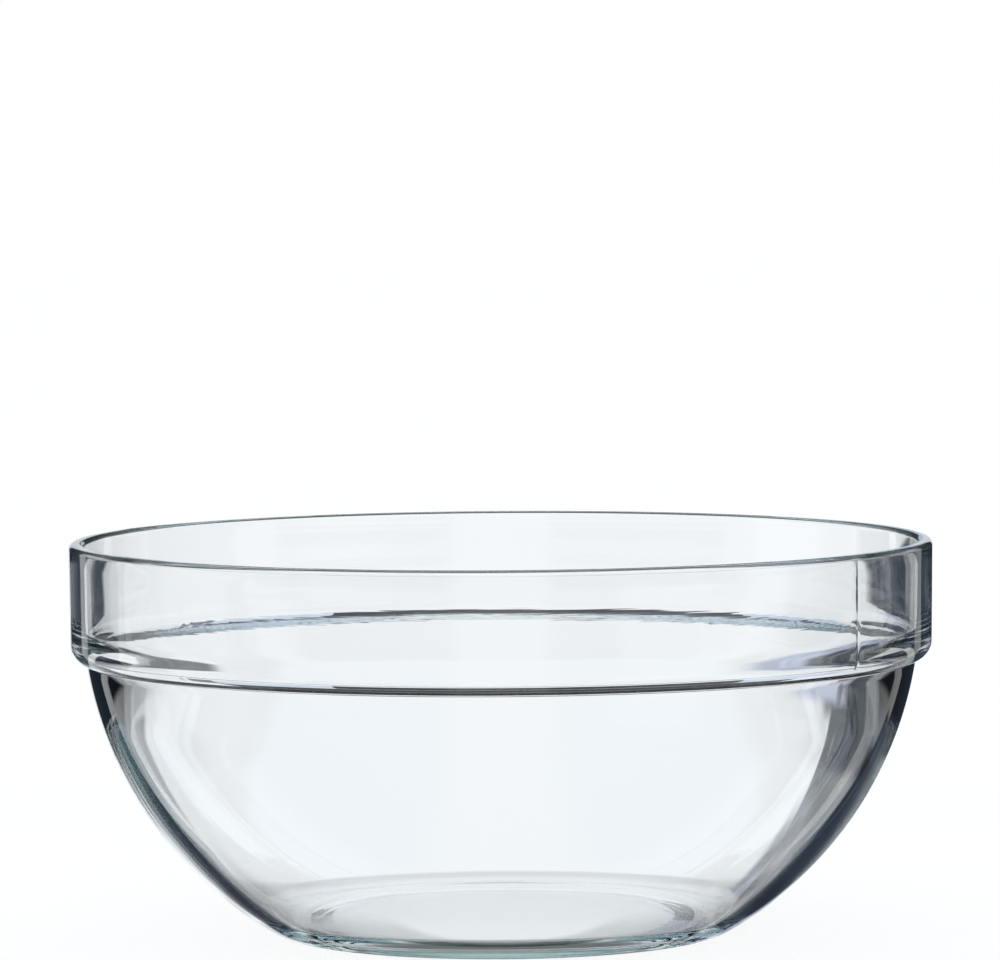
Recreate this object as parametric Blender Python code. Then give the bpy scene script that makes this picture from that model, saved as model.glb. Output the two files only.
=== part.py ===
# Stacking serving bowl in pressed clear glass: one solid turned about Z, in metres,
# standing on z = 0. A straight collar at the mouth overhangs the round wall as the
# stacking step, the inside turns from the wall into the collar at a soft shoulder,
# and the wall runs down to a low standing ring.
import bpy
from math import acos, atan2, ceil, cos, pi, radians, sin, sqrt, tan
from mathutils import Vector

# Overall and collar
RIM_DIAMETER = 0.2304         # outside of the collar at the rim
OVERALL_HEIGHT = 0.1057
COLLAR_HEIGHT = 0.0321        # rim down to the lowest of the collar's round lower edge
COLLAR_DRAFT = radians(0.55)  # outside of the collar, leaning in towards the step
COLLAR_EDGE_RADIUS = 0.0051   # round lower edge of the collar
RIM_WALL = 0.0041
RIM_EDGE_RADIUS = 0.0015
MOUTH_DRAFT = radians(1.25)   # inside of the collar, leaning in towards the shoulder

# Round wall
NEST_CLEARANCE = 0.0004       # a like bowl's body inside this bowl's mouth, at the radius
BODY_RADIUS = 0.1020          # section arc of the wall, outside and inside
WALL_AT_STEP = 0.0042
WALL_AT_HEEL = 0.0044
STEP_FILLET = 0.0004          # corner between the collar's lower edge and the wall

# Inner shoulder behind the collar
SHOULDER_LIFT = 0.0083        # shoulder above the step
SHOULDER_RADIUS = 0.0129

# Foot and floor
FOOT_DIAMETER = 0.1095        # outer edge of the flat standing ring
FOOT_RING_WIDTH = 0.0026
HEEL_RADIUS = 0.0155          # from the standing ring into the wall
RECESS_DEPTH = 0.0006         # underside within the standing ring
RECESS_RAMP = 0.0060          # width of the slope into the recess
RECESS_ROUND = 0.0080         # soft turns at both ends of that slope
FLOOR_HEIGHT = 0.0055         # inner floor above the table
FLOOR_FILLET = 0.0180

# Facets
TURN_STEPS = 72
FACET_TOLERANCE = 0.00007     # largest gap between an arc and its chords
FILLET_SHARE = 0.48           # most of a straight run that one fillet may take

ACROSS = Vector((1, 0))


def polar(centre, radius, angle):
    return centre + radius * Vector((cos(angle), sin(angle)))


def direction(start, end):
    way = end - start
    return atan2(way.y, way.x)


def arc(centre, radius, start, end):
    step = 2 * acos(1 - FACET_TOLERANCE / radius)
    count = max(2, ceil(abs(end - start) / step))
    return [polar(centre, radius, start + (end - start) * i / count) for i in range(count + 1)]


def short_arc(centre, radius, start, end):
    turn = (end - start + pi) % (2 * pi) - pi
    return arc(centre, radius, start, start + turn)


def circle_meet(centre_a, radius_a, centre_b, radius_b):
    # The crossing of two circles on the right-hand side of the way from a to b
    way = centre_b - centre_a
    along = (radius_a ** 2 - radius_b ** 2 + way.length ** 2) / (2 * way.length)
    aside = sqrt(radius_a ** 2 - along ** 2)
    unit = way.normalized()
    return centre_a + along * unit + aside * Vector((unit.y, -unit.x))


def line_meet(point_a, way_a, point_b, way_b):
    gap = point_b - point_a
    share = gap.cross(way_b) / way_a.cross(way_b)
    return point_a + share * way_a


def touch_angle(centre, radius, point):
    # Where a line from a point outside the circle touches it, on the circle's lower side
    return direction(centre, point) - acos(radius / (point - centre).length)


def fillet(before, corner, after, radius):
    to_before = (before - corner).normalized()
    to_after = (after - corner).normalized()
    half = to_before.angle(to_after) / 2
    room = FILLET_SHARE * min((before - corner).length, (after - corner).length)
    reach = min(radius / tan(half), room)
    true_radius = reach * tan(half)
    centre = corner + (to_before + to_after).normalized() * (true_radius / sin(half))
    start = direction(centre, corner + reach * to_before)
    end = direction(centre, corner + reach * to_after)
    return short_arc(centre, true_radius, start, end)


def rim_points():
    # Inner edge, flat top and outer edge of the rim
    outer = RIM_DIAMETER / 2
    low = OVERALL_HEIGHT - RIM_EDGE_RADIUS
    inner_centre = Vector((outer - RIM_WALL + RIM_EDGE_RADIUS, low))
    outer_centre = Vector((outer - RIM_EDGE_RADIUS, low))
    inner_edge = arc(inner_centre, RIM_EDGE_RADIUS, pi, pi / 2)
    outer_edge = arc(outer_centre, RIM_EDGE_RADIUS, pi / 2, 0)
    return inner_edge + outer_edge


def step_points(body_centre, step_height):
    # Round lower edge of the collar and the filleted corner where it meets the wall
    run = OVERALL_HEIGHT - RIM_EDGE_RADIUS - step_height - COLLAR_EDGE_RADIUS
    collar_low = RIM_DIAMETER / 2 - run * tan(COLLAR_DRAFT)
    edge_centre = Vector((collar_low - COLLAR_EDGE_RADIUS, step_height + COLLAR_EDGE_RADIUS))
    edge_reach = COLLAR_EDGE_RADIUS + STEP_FILLET
    corner_centre = circle_meet(body_centre, BODY_RADIUS + STEP_FILLET, edge_centre, edge_reach)
    edge = short_arc(edge_centre, COLLAR_EDGE_RADIUS, 0, direction(edge_centre, corner_centre))
    start = direction(corner_centre, edge_centre)
    end = direction(corner_centre, body_centre)
    return edge + short_arc(corner_centre, STEP_FILLET, start, end)[1:]


def foot_points(heel_centre):
    # Flat standing ring, soft slope and recess, from the heel in to the axis
    ring_outer = Vector((heel_centre.x, 0))
    ring_inner = Vector((heel_centre.x - FOOT_RING_WIDTH, 0))
    recess_edge = Vector((ring_inner.x - RECESS_RAMP, RECESS_DEPTH))
    recess_middle = Vector((0, RECESS_DEPTH))
    ring_turn = fillet(ring_outer, ring_inner, recess_edge, RECESS_ROUND)
    recess_turn = fillet(ring_inner, recess_edge, recess_middle, RECESS_ROUND)
    return ring_turn + recess_turn + [recess_middle]


def inside_points(inner_centre, step_height):
    # Floor, round inner wall and the shoulder that leads into the mouth
    mouth_top = Vector((RIM_DIAMETER / 2 - RIM_WALL, OVERALL_HEIGHT - RIM_EDGE_RADIUS))
    mouth_way = Vector((sin(MOUTH_DRAFT), cos(MOUTH_DRAFT)))
    level = Vector((0, step_height + SHOULDER_LIFT))
    shoulder = line_meet(level, ACROSS, mouth_top, mouth_way)
    wall_end = touch_angle(inner_centre, BODY_RADIUS, shoulder)

    fillet_height = FLOOR_HEIGHT + FLOOR_FILLET
    drop = inner_centre.y - fillet_height
    spread = sqrt((BODY_RADIUS - FLOOR_FILLET) ** 2 - drop ** 2)
    floor_centre = Vector((inner_centre.x + spread, fillet_height))
    wall_start = direction(inner_centre, floor_centre)

    points = [Vector((0, FLOOR_HEIGHT))]
    points += arc(floor_centre, FLOOR_FILLET, -pi / 2, wall_start)
    points += arc(inner_centre, BODY_RADIUS, wall_start, wall_end)[1:]
    return points + fillet(points[-1], shoulder, mouth_top, SHOULDER_RADIUS)


def bowl_profile():
    # Half section from the middle of the inner floor, over the rim and down the outside
    step_height = OVERALL_HEIGHT - COLLAR_HEIGHT
    body_top = Vector((RIM_DIAMETER / 2 - RIM_WALL - NEST_CLEARANCE, step_height))
    heel_centre = Vector((FOOT_DIAMETER / 2, HEEL_RADIUS))
    body_centre = circle_meet(body_top, BODY_RADIUS, heel_centre, BODY_RADIUS - HEEL_RADIUS)
    top_angle = direction(body_centre, body_top)
    heel_angle = direction(body_centre, heel_centre)

    # The inside arc has the outside's radius, moved in to give the two wall thicknesses
    inner_top = polar(body_centre, BODY_RADIUS - WALL_AT_STEP, top_angle)
    inner_low = polar(body_centre, BODY_RADIUS - WALL_AT_HEEL, heel_angle)
    inner_centre = circle_meet(inner_top, BODY_RADIUS, inner_low, BODY_RADIUS)

    step = step_points(body_centre, step_height)
    outside = rim_points() + step
    outside += arc(body_centre, BODY_RADIUS, direction(body_centre, step[-1]), heel_angle)[1:]
    outside += arc(heel_centre, HEEL_RADIUS, heel_angle, -pi / 2)[1:]
    outside += foot_points(heel_centre)
    return inside_points(inner_centre, step_height) + outside


def clear_glass():
    material = bpy.data.materials.new("clear_glass")
    material.use_nodes = True
    shader = material.node_tree.nodes["Principled BSDF"]
    shader.inputs["Base Color"].default_value = (0.93, 0.97, 0.97, 1)
    shader.inputs["Roughness"].default_value = 0.02
    shader.inputs["Metallic"].default_value = 0
    shader.inputs["IOR"].default_value = 1.52
    shader.inputs["Transmission Weight"].default_value = 1
    return material


def make_bowl():
    profile = bowl_profile()
    points = [(point.x, 0, point.y) for point in profile]
    edges = [(i, i + 1) for i in range(len(points) - 1)]
    mesh = bpy.data.meshes.new("glass_bowl")
    mesh.from_pydata(points, edges, [])
    mesh.materials.append(clear_glass())
    bowl = bpy.data.objects.new("glass_bowl", mesh)
    bpy.context.collection.objects.link(bowl)
    turn = bowl.modifiers.new("turn", "SCREW")
    turn.axis = "Z"
    turn.steps = TURN_STEPS
    turn.render_steps = TURN_STEPS
    turn.use_smooth_shade = True
    turn.use_merge_vertices = True
    turn.merge_threshold = 0.00001
    return bowl


for old in list(bpy.data.objects):
    bpy.data.objects.remove(old)
make_bowl()
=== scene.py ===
import bmesh
import bpy
from math import acos, atan2, ceil, cos, pi, radians, sin, sqrt, tan
from mathutils import Matrix, Vector, noise


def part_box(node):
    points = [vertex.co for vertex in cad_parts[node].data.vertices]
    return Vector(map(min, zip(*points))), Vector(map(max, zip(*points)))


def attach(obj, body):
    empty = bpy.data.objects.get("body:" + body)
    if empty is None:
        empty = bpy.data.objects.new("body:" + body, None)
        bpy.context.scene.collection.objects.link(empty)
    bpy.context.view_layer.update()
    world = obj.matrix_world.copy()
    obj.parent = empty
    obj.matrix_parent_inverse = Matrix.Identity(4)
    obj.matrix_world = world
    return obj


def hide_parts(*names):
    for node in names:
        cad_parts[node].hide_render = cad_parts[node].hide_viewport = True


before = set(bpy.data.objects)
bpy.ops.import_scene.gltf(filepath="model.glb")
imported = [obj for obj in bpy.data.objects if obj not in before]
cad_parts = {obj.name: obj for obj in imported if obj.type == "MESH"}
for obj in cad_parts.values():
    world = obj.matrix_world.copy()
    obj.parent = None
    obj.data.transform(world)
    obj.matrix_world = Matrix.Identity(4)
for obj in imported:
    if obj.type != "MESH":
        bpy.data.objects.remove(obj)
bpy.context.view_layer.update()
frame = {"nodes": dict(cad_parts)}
scene = bpy.context.scene
print("packed bowl loaded:", ", ".join(frame["nodes"]))


# camera at the photograph's viewing angle

photoView = {
    "distance": 1.9,          # metres in front of the bowl's axis
    "height": 0.2385,
    "pitch": 0.0615,          # radians, looking down
    "roll": -0.0068,          # radians
    "focalPixels": 7132,      # focal length in pixels of the photograph
    "photoWidth": 1000,
    "sensorWidth": 36,
}


def makeCamera(look):
    data = bpy.data.cameras.new("photoCamera")
    data.sensor_fit = "HORIZONTAL"
    data.sensor_width = look["sensorWidth"]
    data.lens = look["focalPixels"] * look["sensorWidth"] / look["photoWidth"]
    camera = bpy.data.objects.new("photoCamera", data)
    camera.location = (0, -look["distance"], look["height"])
    tilt = Matrix.Rotation(pi / 2 - look["pitch"], 3, "X")
    lean = Matrix.Rotation(look["roll"], 3, "Z")
    camera.rotation_euler = (tilt @ lean).to_euler()
    scene.collection.objects.link(camera)
    scene.camera = camera


makeCamera(photoView)
print("camera placed")


# section of the bowl, in metres: the same values as the solid, turned much finer

lowCorner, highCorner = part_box("glass_bowl")

bowlShape = {
    "rimRadius": highCorner.x,
    "height": highCorner.z,
    "collarHeight": 0.0321,
    "collarDraft": radians(0.55),
    "collarEdge": 0.0051,      # round lower edge of the collar
    "rimWall": 0.0041,
    "rimEdge": 0.0015,
    "mouthDraft": radians(1.25),
    "nestClearance": 0.0004,
    "bodyRadius": 0.1020,      # section arc of the wall
    "wallAtStep": 0.0042,
    "wallAtHeel": 0.0044,
    "stepFillet": 0.0004,
    "shoulderLift": 0.0083,
    "shoulderRadius": 0.0129,
    "footRadius": 0.05475,
    "ringWidth": 0.0026,
    "heelRadius": 0.0155,
    "recessDepth": 0.0006,
    "recessRamp": 0.0060,
    "recessRound": 0.0080,
    "floorHeight": 0.0055,
    "floorFillet": 0.0180,
    "turns": 288,              # facets round the axis
    "arcTolerance": 0.000004,  # largest gap between an arc and its chords
    "arcLeast": 4,             # fewest chords in an arc
    "flatRun": 0.004,          # longest straight stretch of the section without a point
    "ripple": 0.000014,        # depth of the pressing's slow ripples on the collar
    "ripplePitch": 0.016,
    "rippleFrom": 0.082,       # they fade out below this height
    "rippleSoft": 0.006,
    "rippleLow": 0.000006,     # depth on the round wall
    "rippleEnd": 0.02,         # none below this height
    "rippleTilt": 0.9,         # and none where the surface faces up or down more than this
    "seams": (radians(-37), radians(143)),  # where the two halves of the mould met
    "seamHalf": 0.0015,        # half a seam's width, as an angle
    "seamHeight": 0.00002,
    "seamReach": (0.076, 0.097),
    "notch": 0.00006,          # depth of the fine notches across the standing ring
}

across = Vector((1, 0))
tiny = 1e-5  # metres or radians, taken as nothing


def polar(centre, radius, angle):
    return centre + radius * Vector((cos(angle), sin(angle)))


def wayTo(start, end):
    way = end - start
    return atan2(way.y, way.x)


def arc(centre, radius, start, end):
    step = 2 * acos(1 - bowlShape["arcTolerance"] / radius)
    count = max(bowlShape["arcLeast"], ceil(abs(end - start) / step))
    return [polar(centre, radius, start + (end - start) * i / count) for i in range(count + 1)]


def shortArc(centre, radius, start, end):
    turn = (end - start + pi) % (2 * pi) - pi
    return arc(centre, radius, start, start + turn)


def circleMeet(centreA, radiusA, centreB, radiusB):
    way = centreB - centreA  # the crossing to the right of the way from A to B
    along = (radiusA ** 2 - radiusB ** 2 + way.length ** 2) / (2 * way.length)
    aside = sqrt(radiusA ** 2 - along ** 2)
    unit = way.normalized()
    return centreA + along * unit + aside * Vector((unit.y, -unit.x))


def lineMeet(pointA, wayA, pointB, wayB):
    share = (pointB - pointA).cross(wayB) / wayA.cross(wayB)
    return pointA + share * wayA


def fillet(before, corner, after, radius):
    toBefore = (before - corner).normalized()
    toAfter = (after - corner).normalized()
    half = toBefore.angle(toAfter) / 2
    reach = radius / tan(half)
    centre = corner + (toBefore + toAfter).normalized() * (radius / sin(half))
    start = wayTo(centre, corner + reach * toBefore)
    end = wayTo(centre, corner + reach * toAfter)
    return shortArc(centre, radius, start, end)


def insidePoints(s, innerCentre, stepHeight):
    mouthTop = Vector((s["rimRadius"] - s["rimWall"], s["height"] - s["rimEdge"]))
    mouthWay = Vector((sin(s["mouthDraft"]), cos(s["mouthDraft"])))
    level = Vector((0, stepHeight + s["shoulderLift"]))
    shoulder = lineMeet(level, across, mouthTop, mouthWay)
    reach = (shoulder - innerCentre).length
    wallEnd = wayTo(innerCentre, shoulder) - acos(s["bodyRadius"] / reach)
    filletHeight = s["floorHeight"] + s["floorFillet"]
    drop = innerCentre.y - filletHeight
    spread = sqrt((s["bodyRadius"] - s["floorFillet"]) ** 2 - drop ** 2)
    floorCentre = Vector((innerCentre.x + spread, filletHeight))
    wallStart = wayTo(innerCentre, floorCentre)
    points = [Vector((0, s["floorHeight"]))]
    points += arc(floorCentre, s["floorFillet"], -pi / 2, wallStart)
    points += arc(innerCentre, s["bodyRadius"], wallStart, wallEnd)[1:]
    return points + fillet(points[-1], shoulder, mouthTop, s["shoulderRadius"])


def rimPoints(s):
    low = s["height"] - s["rimEdge"]
    innerCentre = Vector((s["rimRadius"] - s["rimWall"] + s["rimEdge"], low))
    outerCentre = Vector((s["rimRadius"] - s["rimEdge"], low))
    return arc(innerCentre, s["rimEdge"], pi, pi / 2) + arc(outerCentre, s["rimEdge"], pi / 2, 0)


def stepPoints(s, bodyCentre, stepHeight):
    run = s["height"] - s["rimEdge"] - stepHeight - s["collarEdge"]
    collarLow = s["rimRadius"] - run * tan(s["collarDraft"])
    edgeCentre = Vector((collarLow - s["collarEdge"], stepHeight + s["collarEdge"]))
    reach = s["collarEdge"] + s["stepFillet"]
    corner = circleMeet(bodyCentre, s["bodyRadius"] + s["stepFillet"], edgeCentre, reach)
    edge = shortArc(edgeCentre, s["collarEdge"], 0, wayTo(edgeCentre, corner))
    start, end = wayTo(corner, edgeCentre), wayTo(corner, bodyCentre)
    return edge + shortArc(corner, s["stepFillet"], start, end)[1:]


def footPoints(s, heelCentre):
    ringOuter = Vector((heelCentre.x, 0))
    ringInner = Vector((heelCentre.x - s["ringWidth"], 0))
    recessEdge = Vector((ringInner.x - s["recessRamp"], s["recessDepth"]))
    recessMiddle = Vector((0, s["recessDepth"]))
    ringTurn = fillet(ringOuter, ringInner, recessEdge, s["recessRound"])
    recessTurn = fillet(ringInner, recessEdge, recessMiddle, s["recessRound"])
    return ringTurn + recessTurn + [recessMiddle]


def bowlSection(s):
    stepHeight = s["height"] - s["collarHeight"]
    bodyRadius = s["bodyRadius"]
    bodyTop = Vector((s["rimRadius"] - s["rimWall"] - s["nestClearance"], stepHeight))
    heelCentre = Vector((s["footRadius"], s["heelRadius"]))
    bodyCentre = circleMeet(bodyTop, bodyRadius, heelCentre, bodyRadius - s["heelRadius"])
    topAngle, heelAngle = wayTo(bodyCentre, bodyTop), wayTo(bodyCentre, heelCentre)
    innerTop = polar(bodyCentre, bodyRadius - s["wallAtStep"], topAngle)
    innerLow = polar(bodyCentre, bodyRadius - s["wallAtHeel"], heelAngle)
    innerCentre = circleMeet(innerTop, bodyRadius, innerLow, bodyRadius)
    step = stepPoints(s, bodyCentre, stepHeight)
    section = insidePoints(s, innerCentre, stepHeight) + rimPoints(s) + step
    section += arc(bodyCentre, bodyRadius, wayTo(bodyCentre, step[-1]), heelAngle)[1:]
    section += arc(heelCentre, s["heelRadius"], heelAngle, -pi / 2)[1:]
    section += footPoints(s, heelCentre)
    return spaced(section, s["flatRun"])


def spaced(points, longest):
    # points added along straight runs, so that the mesh is even enough to ripple
    full = [points[0]]
    for point in points[1:]:
        start = full[-1]
        count = max(1, ceil((point - start).length / longest))
        full += [start.lerp(point, i / count) for i in range(1, count + 1)]
    return full


def turnAngles(s):
    # even steps, with three more columns for each seam
    even = [2 * pi * i / s["turns"] for i in range(s["turns"])]
    seams = [seam + k * s["seamHalf"] for seam in s["seams"] for k in (-1, 0, 1)]
    return sorted(angle % (2 * pi) for angle in even + seams)


def turnedMesh(name, section, angles):
    mesh = bpy.data.meshes.new(name)
    shape = bmesh.new()
    rings = []
    for point in section:
        if point.x < tiny:
            rings.append([shape.verts.new((0, 0, point.y))] * len(angles))
            continue
        ring = [(point.x * cos(angle), point.x * sin(angle), point.y) for angle in angles]
        rings.append([shape.verts.new(corner) for corner in ring])
    for upper, lower in zip(rings, rings[1:]):
        for i in range(len(angles)):
            j = (i + 1) % len(angles)
            corners = [upper[i], lower[i], lower[j], upper[j]]
            shape.faces.new(list(dict.fromkeys(corners)))
    bmesh.ops.recalc_face_normals(shape, faces=shape.faces[:])
    shape.to_mesh(mesh)
    shape.free()
    mesh.shade_smooth()
    return mesh


def rippled(mesh, s):
    # slow ripples that only take glass away, so that the bowl stays within its box
    normals = [Vector(v.vector) for v in mesh.vertex_normals]
    for vertex, normal in zip(mesh.vertices, normals):
        if abs(normal.z) > s["rippleTilt"] or vertex.co.z < s["rippleEnd"]:
            continue
        share = min(1, max(0, (vertex.co.z - s["rippleFrom"]) / s["rippleSoft"]))
        depth = s["rippleLow"] + share * (s["ripple"] - s["rippleLow"])
        swell = 0.5 + 0.5 * noise.noise(Vector(vertex.co) / s["ripplePitch"])
        vertex.co -= normal * depth * swell
    mesh.update()


def moulded(mesh, s):
    # thin raised seams up the outside, and notches across the standing ring
    low, high = s["seamReach"]
    normals = [Vector(v.vector) for v in mesh.vertex_normals]
    for vertex, normal in zip(mesh.vertices, normals):
        x, y, z = vertex.co
        angle = atan2(y, x)
        outside = normal.x * x + normal.y * y > 0
        onSeam = min(abs(angle - seam) for seam in s["seams"]) < tiny
        if onSeam and outside and low < z < high:
            vertex.co += normal * s["seamHeight"]
        column = round(angle * s["turns"] / (2 * pi))
        if z < tiny and column % 2:
            vertex.co.z += s["notch"]
    mesh.update()


bowlMesh = turnedMesh("glassBowl", bowlSection(bowlShape), turnAngles(bowlShape))
rippled(bowlMesh, bowlShape)
moulded(bowlMesh, bowlShape)
bowl = bpy.data.objects.new("glassBowl", bowlMesh)
scene.collection.objects.link(bowl)
print("bowl turned:", len(bowlMesh.vertices), "points")


# node helpers

def addNode(tree, kind, **settings):
    node = tree.nodes.new("ShaderNode" + kind)
    for key, value in settings.items():
        setattr(node, key, value)
    return node


def feed(tree, socket, value):
    if isinstance(value, bpy.types.NodeSocket):
        tree.links.new(value, socket)
    else:
        socket.default_value = value


def sums(tree, operation, *values):
    node = addNode(tree, "Math", operation=operation)
    for socket, value in zip(node.inputs, values):
        feed(tree, socket, value)
    return node.outputs[0]


def rise(tree, value, middle, soft):
    # 0 below the middle and 1 above it, with a soft edge of that half width
    node = addNode(tree, "MapRange", interpolation_type="SMOOTHSTEP")
    feed(tree, node.inputs["Value"], value)
    feed(tree, node.inputs["From Min"], sums(tree, "SUBTRACT", middle, soft))
    feed(tree, node.inputs["From Max"], sums(tree, "ADD", middle, soft))
    return node.outputs["Result"]


def between(tree, value, low, high, soft):
    return sums(tree, "SUBTRACT", rise(tree, value, low, soft), rise(tree, value, high, soft))


def mixed(tree, share, first, second, kind="FLOAT"):
    node = addNode(tree, "Mix", data_type=kind)
    slots = {"FLOAT": (2, 3, 0), "RGBA": (6, 7, 2)}[kind]
    feed(tree, node.inputs[0], share)
    feed(tree, node.inputs[slots[0]], first)
    feed(tree, node.inputs[slots[1]], second)
    return node.outputs[slots[2]]


# clear pressed glass

clearGlass = {
    "ior": 1.52,
    "tint": (0.10, 0.52, 0.50, 1),    # what a thick stretch of the glass leaves of white
    "density": 3.0,                   # per metre
    "gloss": (0.0, 0.012),            # roughness from the clearest to the dullest spots
    "glossPitch": 0.05,
    "glossSpots": (0.62, 0.2),        # where the noise turns dull, and how softly
    "glossDetail": 4,
    "marks": 0.000003,                # depth of the mould's fine turning marks on the collar
    "markLength": 0.05,
    "markPitch": 0.0009,
    "markFrom": (0.072, 0.006),       # height where they begin, and how softly
}


def makeGlass(look):
    material = bpy.data.materials.new("clearGlass")
    material.use_nodes = True
    tree = material.node_tree
    shader = tree.nodes["Principled BSDF"]
    shader.inputs["Base Color"].default_value = (1, 1, 1, 1)
    shader.inputs["Transmission Weight"].default_value = 1
    shader.inputs["IOR"].default_value = look["ior"]
    place = addNode(tree, "TexCoord").outputs["Object"]

    spots = addNode(tree, "TexNoise")
    spots.inputs["Scale"].default_value = 1 / look["glossPitch"]
    spots.inputs["Detail"].default_value = look["glossDetail"]
    tree.links.new(place, spots.inputs["Vector"])
    low, high = look["gloss"]
    dull = rise(tree, spots.outputs[0], *look["glossSpots"])
    tree.links.new(sums(tree, "MULTIPLY_ADD", dull, high - low, low), shader.inputs["Roughness"])

    stretch = addNode(tree, "Mapping")
    long, pitch = look["markLength"], look["markPitch"]
    stretch.inputs["Scale"].default_value = (1 / long, 1 / long, 1 / pitch)
    tree.links.new(place, stretch.inputs["Vector"])
    marks = addNode(tree, "TexNoise")
    marks.inputs["Scale"].default_value = 1
    tree.links.new(stretch.outputs[0], marks.inputs["Vector"])
    axes = addNode(tree, "SeparateXYZ")
    tree.links.new(place, axes.inputs[0])
    onCollar = rise(tree, axes.outputs[2], *look["markFrom"])
    height = sums(tree, "MULTIPLY", marks.outputs[0], onCollar)
    bump = addNode(tree, "Bump")
    bump.inputs["Distance"].default_value = look["marks"]
    tree.links.new(height, bump.inputs["Height"])
    tree.links.new(bump.outputs[0], shader.inputs["Normal"])

    absorption = addNode(tree, "VolumeAbsorption")
    absorption.inputs["Color"].default_value = look["tint"]
    absorption.inputs["Density"].default_value = look["density"]
    tree.links.new(absorption.outputs[0], tree.nodes["Material Output"].inputs["Volume"])
    return material


bowlMesh.materials.append(makeGlass(clearGlass))
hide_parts("glass_bowl")
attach(bowl, "root")
print("glass set")


# studio: a grey room with white windows and dark cards, angles in degrees
# azimuth 0 is straight behind the bowl in the photograph, positive to the right

studio = {
    "white": (0.944, 0.973, 1.0, 1),
    "grey": (0.60, 0.62, 0.64, 1),
    "navy": (0.030, 0.040, 0.058, 1),
    "teal": (0.030, 0.075, 0.090, 1),
    "sand": (0.58, 0.60, 0.59, 1),
    "lilac": (0.52, 0.57, 0.72, 1),
    "paleBlue": (0.62, 0.72, 0.86, 1),
    "windows": [              # from, to, soft edge, colour
        (-103, -77, 3, "white"),
        (-60, -29.8, 2, "white"),
        (29.5, 60, 2, "sand"),
        (122, 148, 3, "white"),
        (-11.9, 7.6, 0.5, "white"),
    ],
    "cards": [                # from, to, soft edge, lowest, highest, colour high and low
        (-29.8, -11.9, 0.5, -13.5, 90, "navy", "teal"),
        (-33.5, -17.0, 0.5, -31, -13.5, "teal", "teal"),
        (7.6, 29.5, 0.5, -31, 90, "navy", "navy"),
        (29.5, 33.5, 0.5, -31, -13.5, "navy", "navy"),
        (-58, -36, 1, -13, 2, "navy", "navy"),
        (36, 58, 1, -13, 2, "navy", "navy"),
        (60, 98, 2, -24, 90, "navy", "teal"),
        (113, 166, 3, -5, 90, "navy", "navy"),
        (-166, -113, 3, -5, 90, "navy", "navy"),
    ],
    "cardSoft": 0.6,
    "cardTurn": -13,          # elevation where a card goes from its high to its low colour
    "cardTurnSoft": 6,
    "lowCards": [             # from, to, lowest, highest, colour
        (-30, -7.8, -31, -18.4, "navy"),
        (6.0, 9.4, -23, -13.2, "lilac"),
    ],
    "lowCardSoft": 0.8,
    "table": -31,             # below this the table close by shows
    "tableSoft": 2,
    "paintedShadowBand": (-62, -32),      # painted shadow of the bowl on the table under it, a dark band seen only from the front
    "paintedShadowBandSoft": 2,
    "paintedShadowBandTone": 0.04,
    "paintedShadowBandWide": 34,
    "paintedShadowBandSide": 8,
    "frontShadeTone": 0.62,        # table in front, darker by painted shade
    "frontSoft": 0.12,
    "lintel": 15.5,           # top of the windows behind, dark above
    "lintelSoft": 1.5,
    "lintelTone": 0.01,
    "overhead": 33,           # bright ceiling above
    "overheadSoft": 4,
    "overheadSide": 0.25,     # it turns pale blue towards its sides
    "overheadSideSoft": 0.1,
}


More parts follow.
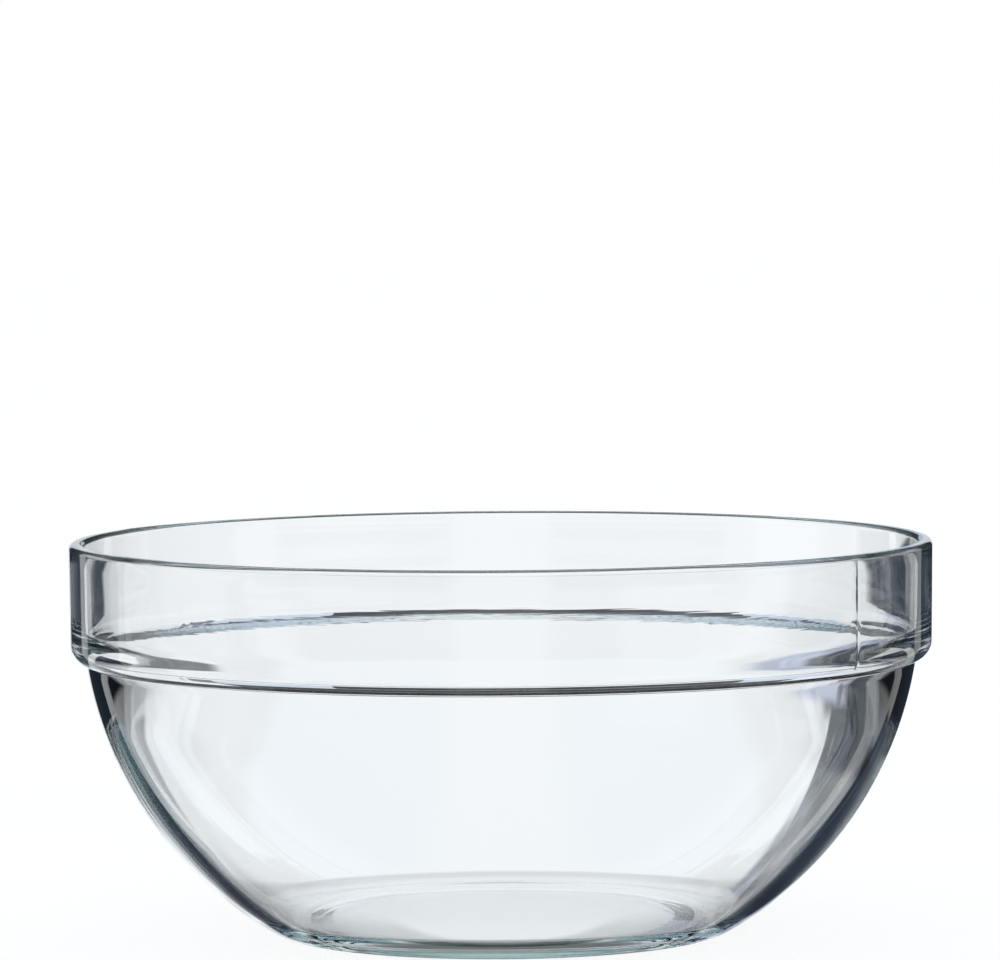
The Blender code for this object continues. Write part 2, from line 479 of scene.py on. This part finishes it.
def makeStudio(look):
    world = bpy.data.worlds.new("studioRoom")
    world.use_nodes = True
    scene.world = world
    tree = world.node_tree
    tree.nodes.clear()
    axes = addNode(tree, "SeparateXYZ")
    tree.links.new(addNode(tree, "TexCoord").outputs["Generated"], axes.inputs[0])
    x, y, z = axes.outputs
    azimuth = sums(tree, "DEGREES", sums(tree, "ARCTAN2", x, y))
    elevation = sums(tree, "DEGREES", sums(tree, "ARCSINE", z))

    def patch(left, right, side, low, high, edge):
        wide = between(tree, azimuth, left, right, side)
        return sums(tree, "MULTIPLY", wide, between(tree, elevation, low, high, edge))

    colour = look["grey"]
    for left, right, side, name in look["windows"]:
        colour = mixed(tree, between(tree, azimuth, left, right, side), colour, look[name], "RGBA")
    turn = rise(tree, elevation, look["cardTurn"], look["cardTurnSoft"])
    for left, right, side, low, high, upperName, lowerName in look["cards"]:
        cloth = mixed(tree, turn, look[lowerName], look[upperName], "RGBA")
        share = patch(left, right, side, low, high, look["cardSoft"])
        colour = mixed(tree, share, colour, cloth, "RGBA")
    for left, right, low, high, name in look["lowCards"]:
        share = patch(left, right, look["lowCardSoft"], low, high, look["lowCardSoft"])
        colour = mixed(tree, share, colour, look[name], "RGBA")

    table = rise(tree, elevation, look["table"], look["tableSoft"])
    colour = mixed(tree, table, look["white"], colour, "RGBA")
    # painted shadow: the table under the bowl is darkened in a band, and the table in front by
    # painted shade
    wide, soft = look["paintedShadowBandWide"], look["paintedShadowBandSide"]
    paintedShadowBand = between(tree, elevation, *look["paintedShadowBand"], look["paintedShadowBandSoft"])
    paintedShadowBand = sums(tree, "MULTIPLY", paintedShadowBand, between(tree, azimuth, -wide, wide, soft))
    behind = rise(tree, y, 0.0, look["frontSoft"])
    nearLight = mixed(tree, behind, look["frontShadeTone"], mixed(tree, paintedShadowBand, 1.0, look["paintedShadowBandTone"]))
    light = mixed(tree, table, nearLight, 1.0)
    lintel = rise(tree, elevation, look["lintel"], look["lintelSoft"])
    lintel = sums(tree, "MULTIPLY", lintel, behind)
    light = mixed(tree, lintel, light, look["lintelTone"])

    side = rise(tree, sums(tree, "ABSOLUTE", x), look["overheadSide"], look["overheadSideSoft"])
    cover = mixed(tree, side, look["white"], look["paleBlue"], "RGBA")
    ceiling = rise(tree, elevation, look["overhead"], look["overheadSoft"])
    colour = mixed(tree, ceiling, colour, cover, "RGBA")
    light = mixed(tree, ceiling, light, 1.0)

    seen = addNode(tree, "LightPath").outputs["Is Camera Ray"]
    ground = addNode(tree, "Background")
    tree.links.new(mixed(tree, seen, colour, (1, 1, 1, 1), "RGBA"), ground.inputs["Color"])
    tree.links.new(mixed(tree, seen, light, 1.0), ground.inputs["Strength"])
    tree.links.new(ground.outputs[0], addNode(tree, "OutputWorld").inputs["Surface"])


# black cloth with pale boards beside and behind it, hung behind the bowl
# and above the straight sight lines through the glass

blackFlag = {
    "behind": 0.40,
    "soft": 0.010,            # height of the soft lower edges
    "apart": 0.001,           # each strip hangs this far behind the one before
    "strips": [               # from, to, lowest, top, colour
        (-0.122, -0.108, 0.083, 0.15, (0.14, 0.16, 0.20, 1)),
        (-0.108, -0.060, 0.083, 0.15, (0.64, 0.73, 0.86, 1)),
        (-0.060, 0.088, 0.083, 0.15, (0.01, 0.012, 0.015, 1)),
        (0.088, 0.135, 0.083, 0.15, (0.60, 0.70, 0.86, 1)),
        (-0.105, 0.112, 0.145, 0.22, (0.01, 0.012, 0.015, 1)),
        (-0.200, 0.200, 0.083, 0.22, (0.88, 0.92, 0.96, 1)),
    ],
}


def flagCloth(colour, low, soft):
    material = bpy.data.materials.new("blackFlag")
    material.use_nodes = True
    tree = material.node_tree
    tree.nodes.clear()
    axes = addNode(tree, "SeparateXYZ")
    tree.links.new(addNode(tree, "TexCoord").outputs["Object"], axes.inputs[0])
    cloth = addNode(tree, "Emission")
    cloth.inputs["Color"].default_value = colour
    clear = addNode(tree, "BsdfTransparent")
    shown = addNode(tree, "MixShader")
    tree.links.new(rise(tree, axes.outputs[2], low + soft / 2, soft / 2), shown.inputs[0])
    tree.links.new(clear.outputs[0], shown.inputs[1])
    tree.links.new(cloth.outputs[0], shown.inputs[2])
    tree.links.new(shown.outputs[0], addNode(tree, "OutputMaterial").inputs["Surface"])
    return material


def makeFlag(look):
    mesh = bpy.data.meshes.new("blackFlag")
    corners, faces = [], []
    for i, (left, right, low, top, colour) in enumerate(look["strips"]):
        depth = look["behind"] + i * look["apart"]
        faces.append([len(corners) + k for k in range(4)])
        outline = [(left, low), (right, low), (right, top), (left, top)]
        corners += [(x, depth, z) for x, z in outline]
        mesh.materials.append(flagCloth(colour, low, look["soft"]))
    mesh.from_pydata(corners, [], faces)
    for i, face in enumerate(mesh.polygons):
        face.material_index = i
    flag = bpy.data.objects.new("blackFlag", mesh)
    flag.visible_camera = False
    scene.collection.objects.link(flag)


makeFlag(blackFlag)
makeStudio(studio)
print("studio lit")


# plain pale floor, white to the camera, with the bowl's faint shadow

paleFloor = {
    "reach": 6.0,
    "drop": 0.00003,          # under the standing ring
    "glow": 0.87,             # what the floor shows by itself
    "matt": (0.22, 0.22, 0.22, 1),       # this share is lit by the room and holds the shadow
    "rings": [                # from, to, soft edge, tone of the painted shade seen through the glass: under the bowl, and a painted shadow ring round it
        (0.0, 0.0515, 0.0010, 0.62),
        (0.0710, 0.0870, 0.0050, 0.74),
    ],
    "frontShadowRings": [           # painted contact shadow in front of the standing ring: the same, then where each ends towards the back, and how softly
        (0.0475, 0.0535, 0.0020, 0.55, 0.05, 0.03),
        (0.0535, 0.0588, 0.0008, 0.14, -0.025, 0.02),
    ],
    "cloth": (0.16, 0.70, -0.03, 0.10),  # left, right, nearest, farthest of a dark cloth
    "clothSoft": 0.010,
    "clothTone": 0.15,
}


def makeFloor(look):
    reach = look["reach"]
    mesh = bpy.data.meshes.new("paleFloor")
    corners = [(-reach, -reach), (reach, -reach), (reach, reach), (-reach, reach)]
    mesh.from_pydata([(x, y, -look["drop"]) for x, y in corners], [], [(0, 1, 2, 3)])
    material = bpy.data.materials.new("paleFloor")
    material.use_nodes = True
    tree = material.node_tree
    tree.nodes.clear()
    glow = addNode(tree, "Emission")
    glow.inputs["Color"].default_value = (1, 1, 1, 1)
    glow.inputs["Strength"].default_value = look["glow"]
    matt = addNode(tree, "BsdfDiffuse")
    matt.inputs["Color"].default_value = look["matt"]
    pale = addNode(tree, "AddShader")
    tree.links.new(glow.outputs[0], pale.inputs[0])
    tree.links.new(matt.outputs[0], pale.inputs[1])
    place = addNode(tree, "TexCoord").outputs["Object"]
    far = addNode(tree, "VectorMath", operation="LENGTH")
    tree.links.new(place, far.inputs[0])
    axes = addNode(tree, "SeparateXYZ")
    tree.links.new(place, axes.inputs[0])
    x, y = axes.outputs[:2]
    # what the glass sees through the floor is tinted: painted shade under the bowl, painted shadow
    # rings round it, and the dark cloth
    tone = 1.0
    for inner, outer, soft, paintedShadeTone in look["rings"]:
        ring = between(tree, far.outputs["Value"], inner, outer, soft)
        tone = mixed(tree, ring, tone, paintedShadeTone)
    for inner, outer, soft, paintedShadeTone, end, endSoft in look["frontShadowRings"]:
        front = sums(tree, "SUBTRACT", 1.0, rise(tree, y, end, endSoft))
        ring = between(tree, far.outputs["Value"], inner, outer, soft)
        tone = mixed(tree, sums(tree, "MULTIPLY", front, ring), tone, paintedShadeTone)
    left, right, nearest, farthest = look["cloth"]
    wide = between(tree, x, left, right, look["clothSoft"])
    deep = between(tree, y, nearest, farthest, look["clothSoft"])
    tone = mixed(tree, sums(tree, "MULTIPLY", wide, deep), tone, look["clothTone"])
    clear = addNode(tree, "BsdfTransparent")
    tree.links.new(tone, clear.inputs["Color"])
    shown = addNode(tree, "MixShader")
    tree.links.new(addNode(tree, "LightPath").outputs["Is Camera Ray"], shown.inputs[0])
    tree.links.new(clear.outputs[0], shown.inputs[1])
    tree.links.new(pale.outputs[0], shown.inputs[2])
    tree.links.new(shown.outputs[0], addNode(tree, "OutputMaterial").inputs["Surface"])
    mesh.materials.append(material)
    floor = bpy.data.objects.new("paleFloor", mesh)
    scene.collection.objects.link(floor)


lightSteps = 32  # light is led a long way round inside the glass

makeFloor(paleFloor)
scene.view_settings.view_transform = "Standard"
for kind in ("max", "glossy", "transmission"):
    setattr(scene.cycles, kind + "_bounces", lightSteps)
print("floor laid")
